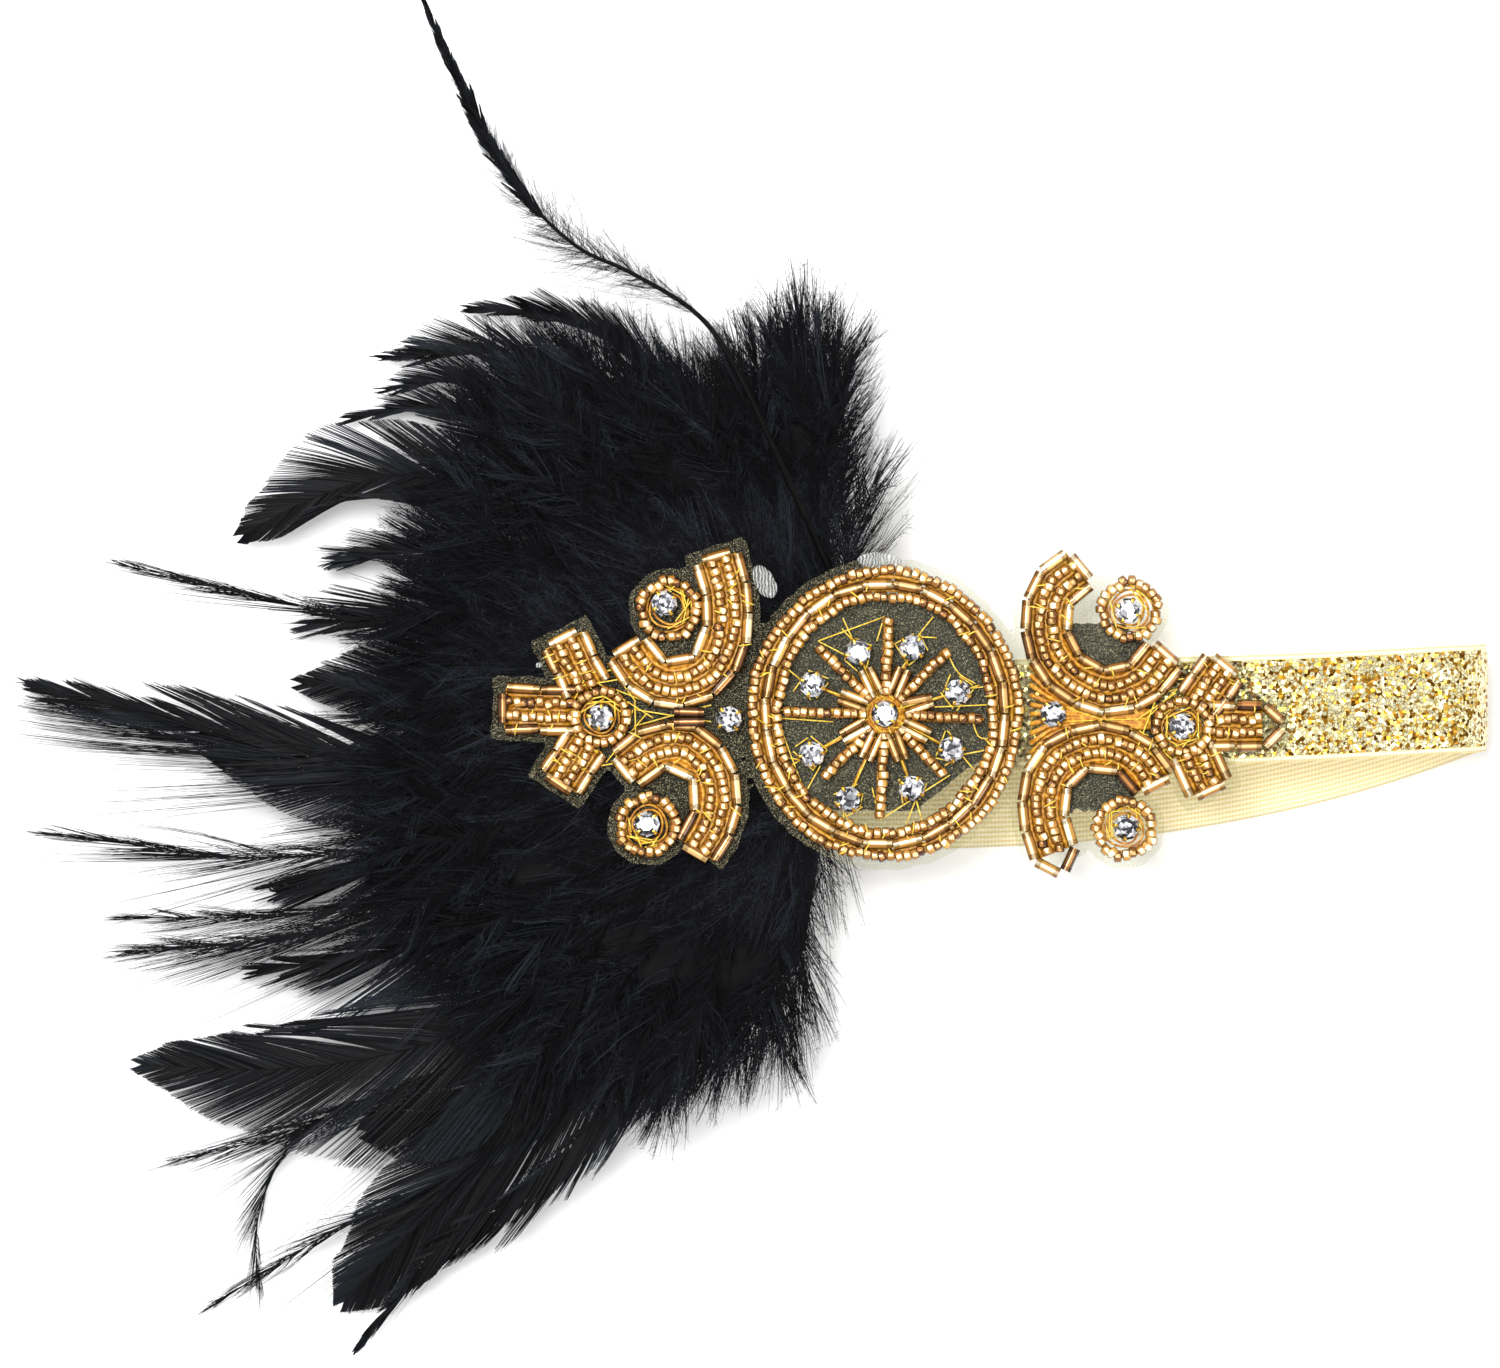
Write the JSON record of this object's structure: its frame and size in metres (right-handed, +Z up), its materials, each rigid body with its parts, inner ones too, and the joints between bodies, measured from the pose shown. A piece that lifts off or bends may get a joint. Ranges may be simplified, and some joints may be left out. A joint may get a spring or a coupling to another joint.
{
  "type": "flapper feather headband",
  "caption": "Glitter elastic headband with a beaded medallion applique, clear stones and a fan of black feathers with one long hackle, lying flat.",
  "frame": {"origin": "on the table, under the middle of the whole thing's bounding box", "axes": "+Z up out of the table and of the beaded face, +X from the feather fan towards the free loop of elastic, +Y to the wearer's crown"},
  "size_m": [0.3448, 0.3162, 0.043],
  "materials": {
    "gold_elastic": "woven elastic with gold glitter on its outer face",
    "black_felt": "matt felt",
    "green_organza": "sheer grey green organza",
    "amber_glass": "gold lined amber glass beads on yellow thread",
    "crystal": "clear cut stones in gold cups",
    "black_feather": "black dyed hackle, vane feathers and down"
  },
  "bodies": {
    "root": {"elastic_band": "gold_elastic", "medallion_pad": "black_felt", "fleur_pad": "black_felt", "organza_backing": "green_organza", "vane_feathers": "black_feather", "down_fluff": "black_feather", "long_hackle": "black_feather", "medallion_outer_seed_ring": "amber_glass", "medallion_inner_seed_ring": "amber_glass", "medallion_bugle_ring": "amber_glass", "medallion_star": "amber_glass", "left_upper_scroll": "amber_glass", "left_lower_scroll": "amber_glass", "right_upper_scroll": "amber_glass", "right_lower_scroll": "amber_glass", "left_upper_eye_ring": "amber_glass", "left_lower_eye_ring": "amber_glass", "right_upper_eye_ring": "amber_glass", "right_lower_eye_ring": "amber_glass", "left_trefoil": "amber_glass", "right_trefoil": "amber_glass", "centre_stone": "crystal", "medallion_stone_1": "crystal", "medallion_stone_2": "crystal", "medallion_stone_3": "crystal", "medallion_stone_4": "crystal", "medallion_stone_5": "crystal", "medallion_stone_6": "crystal", "medallion_stone_7": "crystal", "medallion_stone_8": "crystal", "left_upper_eye_stone": "crystal", "left_lower_eye_stone": "crystal", "right_upper_eye_stone": "crystal", "right_lower_eye_stone": "crystal", "left_trefoil_stone": "crystal", "right_trefoil_stone": "crystal", "left_waist_stone": "crystal", "right_waist_stone": "crystal"}
  },
  "joints": []
}
